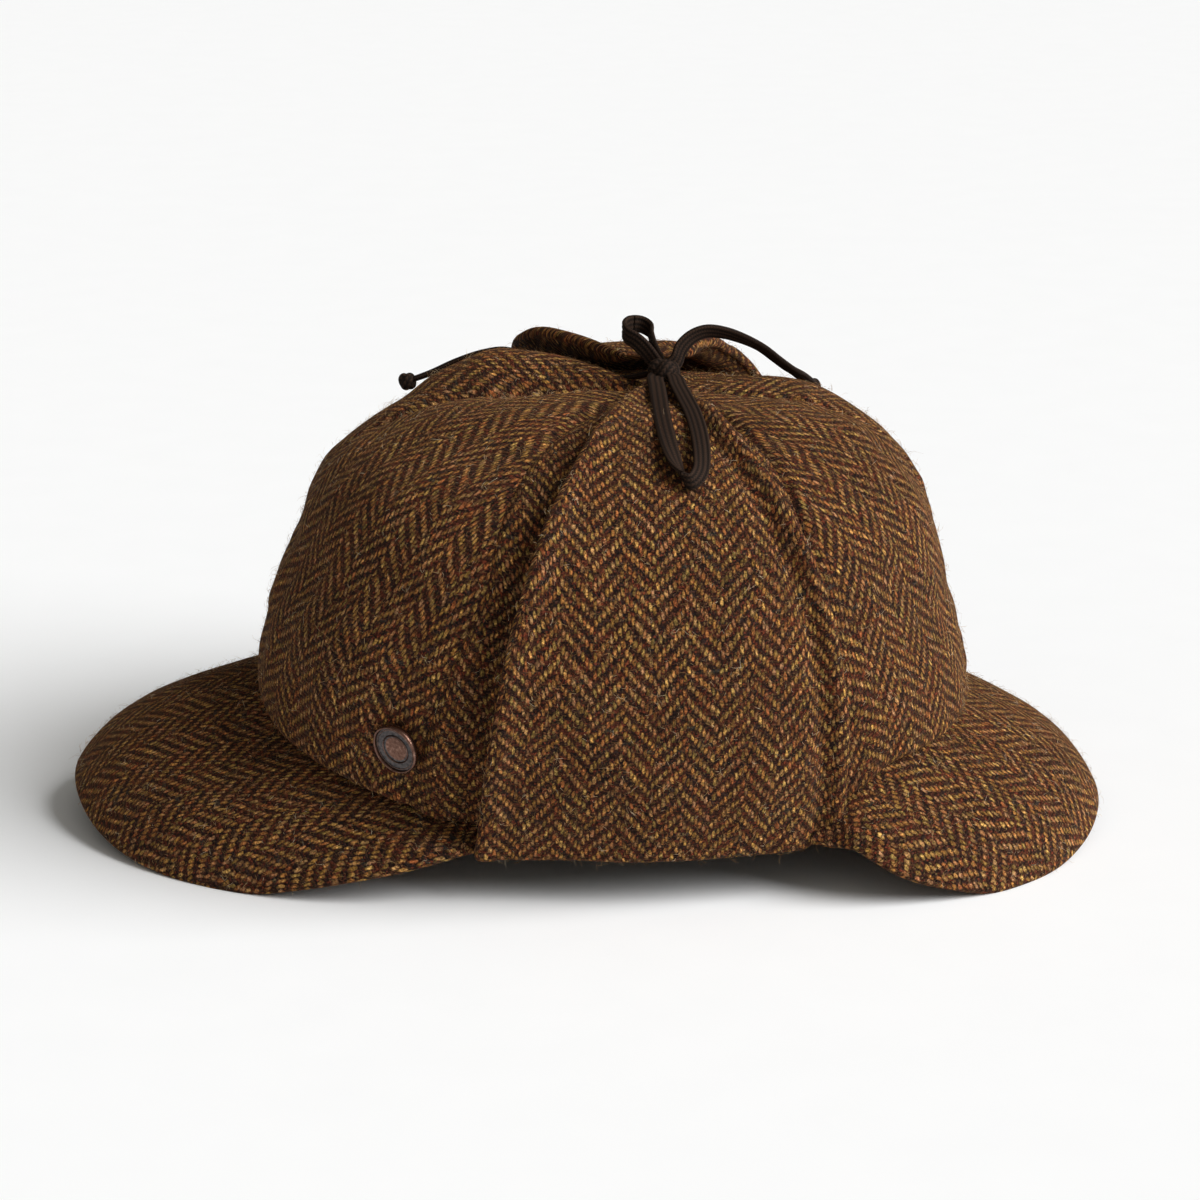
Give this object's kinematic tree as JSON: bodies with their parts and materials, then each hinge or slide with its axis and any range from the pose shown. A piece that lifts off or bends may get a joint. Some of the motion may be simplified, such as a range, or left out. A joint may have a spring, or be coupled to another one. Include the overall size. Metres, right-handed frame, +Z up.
{
  "type": "deerstalker hat",
  "caption": "Tweed deerstalker hat with a peak at the front and back and ear flaps tied up over the crown with a braid bow.",
  "frame": {"origin": "on the surface that the hat rests on, under the middle of its length and width", "axes": "+Z up, -X towards the front peak, +X towards the back peak, -Y towards the side with the stud"},
  "size_m": [0.3216, 0.196, 0.1542],
  "materials": {
    "tweed": "brown and dark brown herringbone wool tweed with ochre, rust and olive flecks, matte",
    "braid": "dark brown flat braid with fine lengthwise ribs",
    "aged_copper": "aged copper, dark in its recesses, satin"
  },
  "bodies": {
    "root": {"crown_front_near": "tweed", "crown_side_near": "tweed", "crown_back_near": "tweed", "crown_front_far": "tweed", "crown_side_far": "tweed", "crown_back_far": "tweed", "front_peak": "tweed", "back_peak": "tweed", "ear_flap_near": "tweed", "ear_flap_far": "tweed", "tie_knot": "braid", "tie_loop_near": "braid", "tie_loop_far": "braid", "tie_end_back": "braid", "tie_end_knot_back": "braid", "tie_end_front": "braid", "tie_end_knot_front": "braid", "stud": "aged_copper"}
  },
  "joints": []
}
